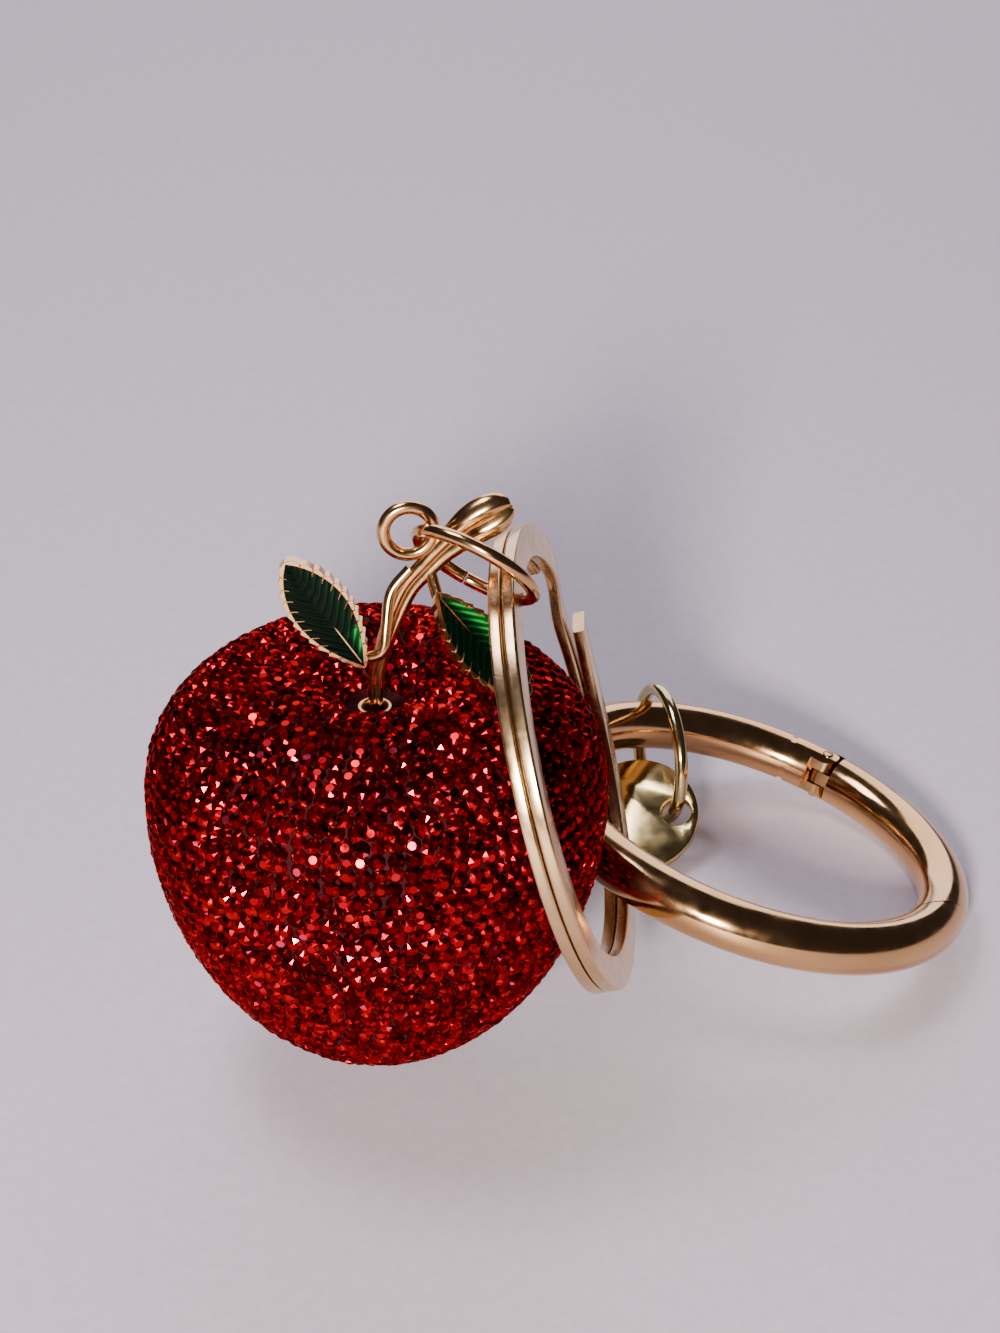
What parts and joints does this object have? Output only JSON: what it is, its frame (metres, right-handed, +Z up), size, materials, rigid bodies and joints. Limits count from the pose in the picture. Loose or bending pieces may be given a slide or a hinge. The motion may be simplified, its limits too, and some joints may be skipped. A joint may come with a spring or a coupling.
{
  "type": "rhinestone apple key ring",
  "caption": "Apple charm paved with red stones, with a gold stem and enamelled leaves, on a split ring linked to a gated snap ring that carries a small blank tag.",
  "frame": {"origin": "centre of the flat spot under the apple", "axes": "+Z up along the apple's axis, +X towards the side where the rings lie"},
  "size_m": [0.0643, 0.0516, 0.045],
  "materials": {
    "red_stone": "faceted, polished",
    "gold_plate": "bright rose-gold plating",
    "pale_gold": "bright pale-gold plating",
    "green_enamel": "clear green enamel"
  },
  "bodies": {
    "apple": {"apple_body": "red_stone", "collar": "gold_plate", "stem": "gold_plate", "leaf_left": "gold_plate", "enamel_left": "green_enamel", "leaf_right": "gold_plate", "enamel_right": "green_enamel"},
    "link_ring": {"jump_ring": "gold_plate"},
    "split_ring": {"split_ring": "gold_plate"},
    "snap_ring": {"snap_body": "gold_plate", "hinge_pin": "gold_plate", "gate_spring": "gold_plate"},
    "gate": {"gate": "gold_plate"},
    "tag_ring": {"tag_ring": "gold_plate"},
    "tag": {"tag": "pale_gold"}
  },
  "joints": [
    {"name": "link_swing", "type": "hinge", "parent": "apple", "child": "link_ring", "pos_m": [0.0042, 0.0019, 0.04186], "axis": [0.4388, 0.1396, 0.8877], "range_deg": [-20, 1.5]},
    {"name": "split_swing", "type": "hinge", "parent": "link_ring", "child": "split_ring", "pos_m": [0.0094, -0.0006, 0.03885], "axis": [-0.01, -0.9817, -0.1903], "range_deg": [0, 60]},
    {"name": "snap_swing", "type": "hinge", "parent": "split_ring", "child": "snap_ring", "pos_m": [0.01725, 0.00562, 0.01217], "axis": [0.6186, -0.7784, -0.1069], "range_deg": [-15, 50]},
    {"name": "gate_hinge", "type": "hinge", "parent": "snap_ring", "child": "gate", "pos_m": [0.0368, 0.02985, 0.0034], "axis": [0.2959, 0.1043, 0.9495], "range_deg": [-28, 0], "stiffness_Nm_per_rad": 0.01, "springref_deg": 34.38},
    {"name": "tag_ring_swing", "type": "hinge", "parent": "snap_ring", "child": "tag_ring", "pos_m": [0.02212, 0.0309, 0.00787], "axis": [-0.8803, -0.3501, 0.3201], "range_deg": [-20, 40]},
    {"name": "tag_swing", "type": "hinge", "parent": "tag_ring", "child": "tag", "pos_m": [0.02392, 0.0251, 0.0026], "axis": [-0.2996, 0.6991, -0.6492], "range_deg": [-20, 20]}
  ]
}
